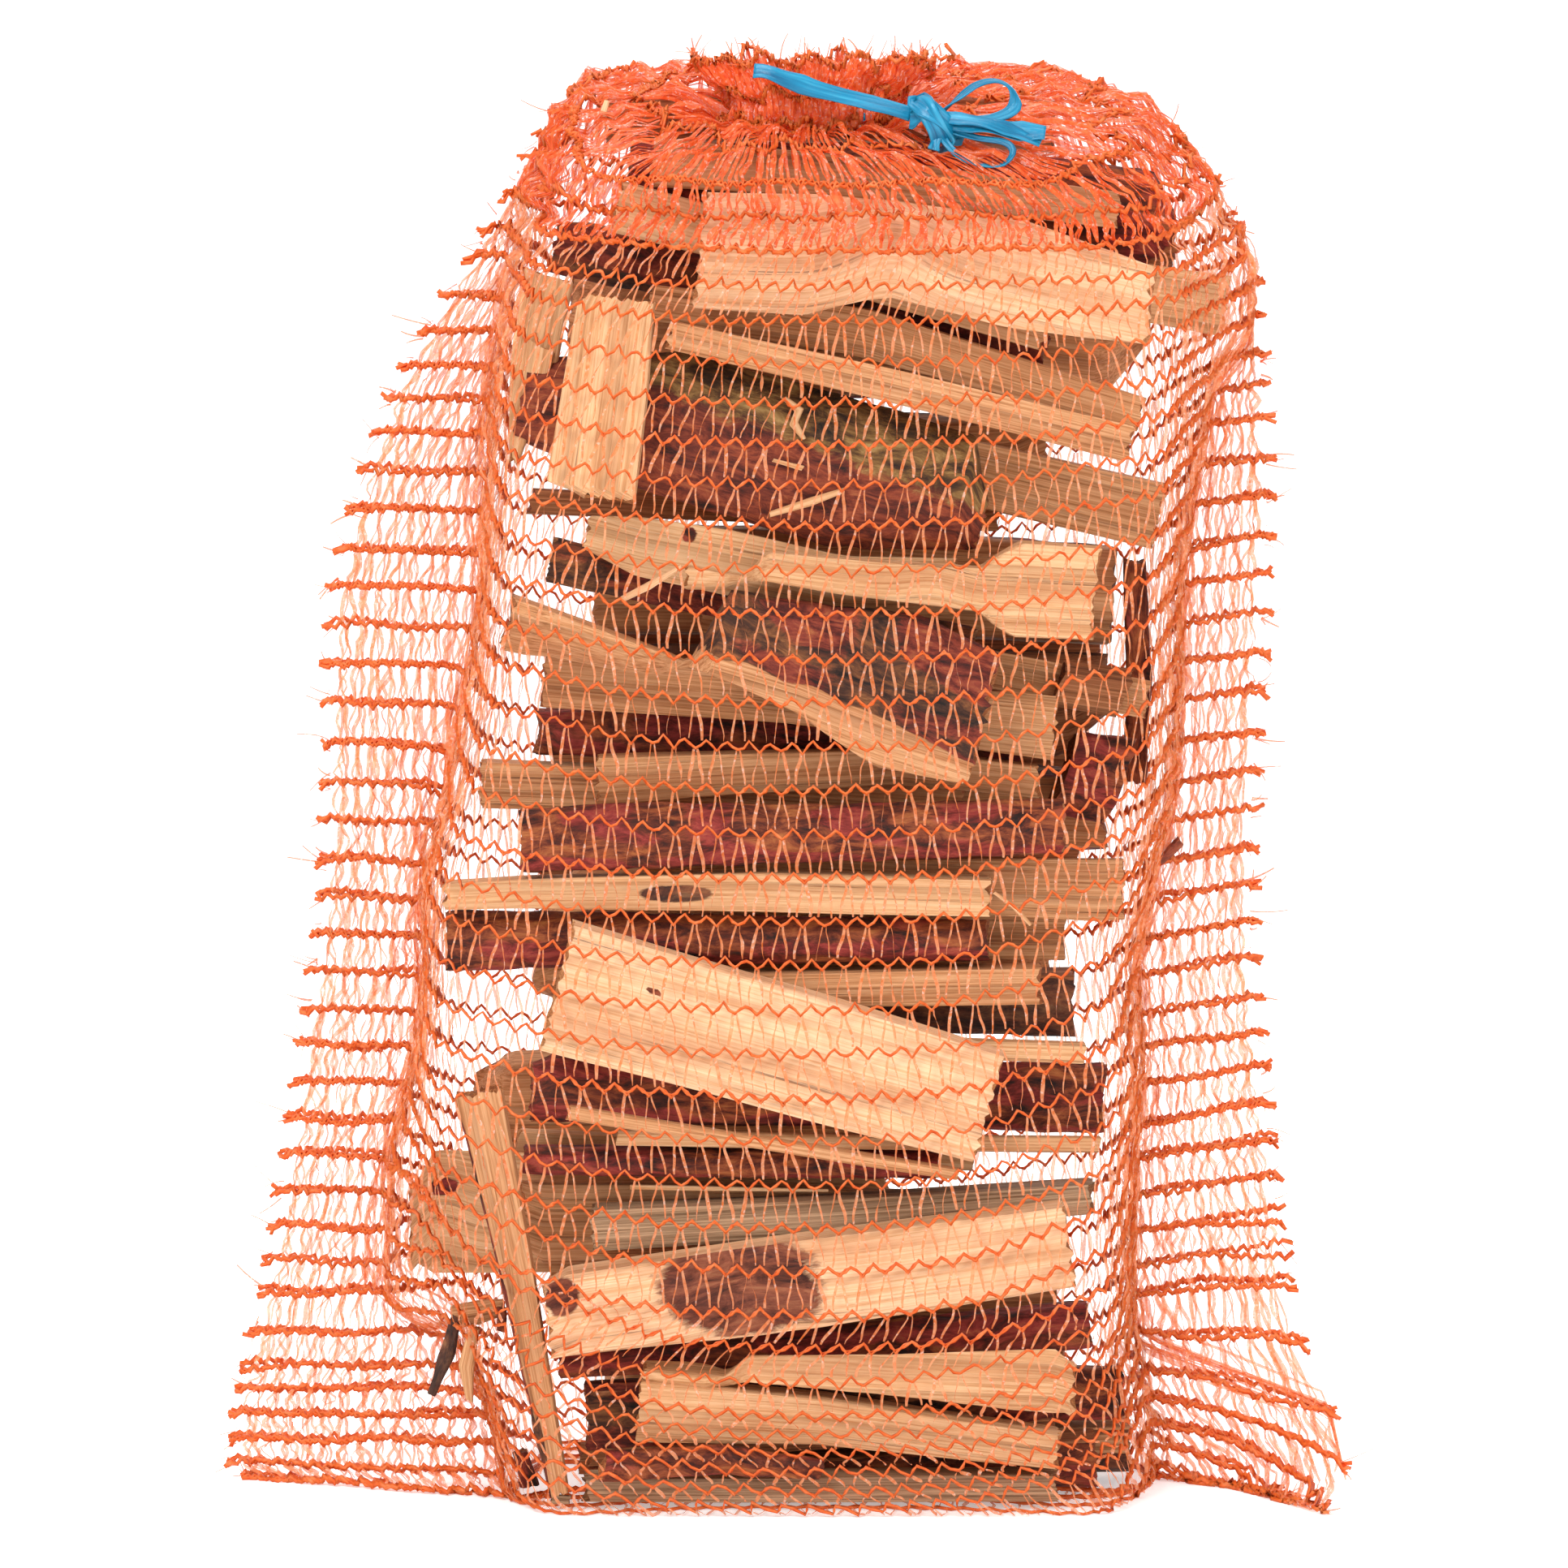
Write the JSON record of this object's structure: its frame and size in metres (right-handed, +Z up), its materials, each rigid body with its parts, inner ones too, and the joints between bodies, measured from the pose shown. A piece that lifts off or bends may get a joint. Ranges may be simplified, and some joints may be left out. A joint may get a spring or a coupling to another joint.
{
  "type": "bag of split firewood",
  "caption": "Upright knitted net sack filled with split softwood sticks stacked on their sides, mouth gathered by a flat tape drawstring tied in a bow.",
  "frame": {"origin": "middle of the bag's bounding box, on the ground it stands on", "axes": "+Z up, -Y towards the front face of the bag, +X along the width to the right as seen from the front"},
  "size_m": [0.458, 0.144, 0.5894],
  "materials": {
    "split_wood": "rough",
    "barked_wood": "rough",
    "knitted_net": "satin",
    "drawstring_tape": "satin"
  },
  "bodies": {
    "root": {"top_log": "split_wood", "top_right_stick": "split_wood", "top_middle_billet": "barked_wood", "top_back_billet": "barked_wood", "top_left_stick": "split_wood", "second_left_stick": "split_wood", "shoulder_stick": "barked_wood", "long_slant_stick": "split_wood", "grooved_slant_stick": "split_wood", "back_shoulder_billet": "barked_wood", "upright_offcut": "split_wood", "large_bark_billet": "barked_wood", "right_brown_stick": "split_wood", "back_upper_billet": "barked_wood", "pale_left_stick": "split_wood", "stepped_pale_stick": "split_wood", "dark_bark_stick": "barked_wood", "black_bark_billet": "barked_wood", "curved_pale_stick": "split_wood", "red_ridged_stick": "barked_wood", "left_pale_stick": "split_wood", "ribbed_pale_stick": "split_wood", "right_slant_stick": "split_wood", "back_middle_billet": "barked_wood", "back_low_middle_billet": "barked_wood", "right_upright_stick": "split_wood", "long_bark_billet": "barked_wood", "back_red_billet": "barked_wood", "long_pale_stick": "split_wood", "right_pale_stick": "split_wood", "dark_long_billet": "barked_wood", "middle_core_billet": "split_wood", "lower_pale_stick": "split_wood", "round_end_stick": "barked_wood", "front_slant_board": "split_wood", "back_large_billet": "barked_wood", "left_block_stick": "barked_wood", "right_red_billet": "barked_wood", "thin_red_stick": "barked_wood", "back_wide_billet": "barked_wood", "left_end_block": "split_wood", "grey_long_stick": "split_wood", "front_bright_board": "split_wood", "leaning_stick": "split_wood", "knot_end_billet": "split_wood", "core_stick": "split_wood", "dark_under_stick": "barked_wood", "lower_wedge_stick": "split_wood", "lower_long_stick": "split_wood", "bottom_left_billet": "split_wood", "bottom_front_stick": "split_wood", "bottom_block_stick": "barked_wood", "red_corner_stick": "barked_wood", "rounded_corner_stick": "barked_wood", "back_low_billet": "barked_wood", "back_bottom_billet": "barked_wood", "net_sack": "knitted_net", "drawstring_ring": "drawstring_tape", "drawstring_run": "drawstring_tape", "drawstring_bow": "drawstring_tape"}
  },
  "joints": []
}
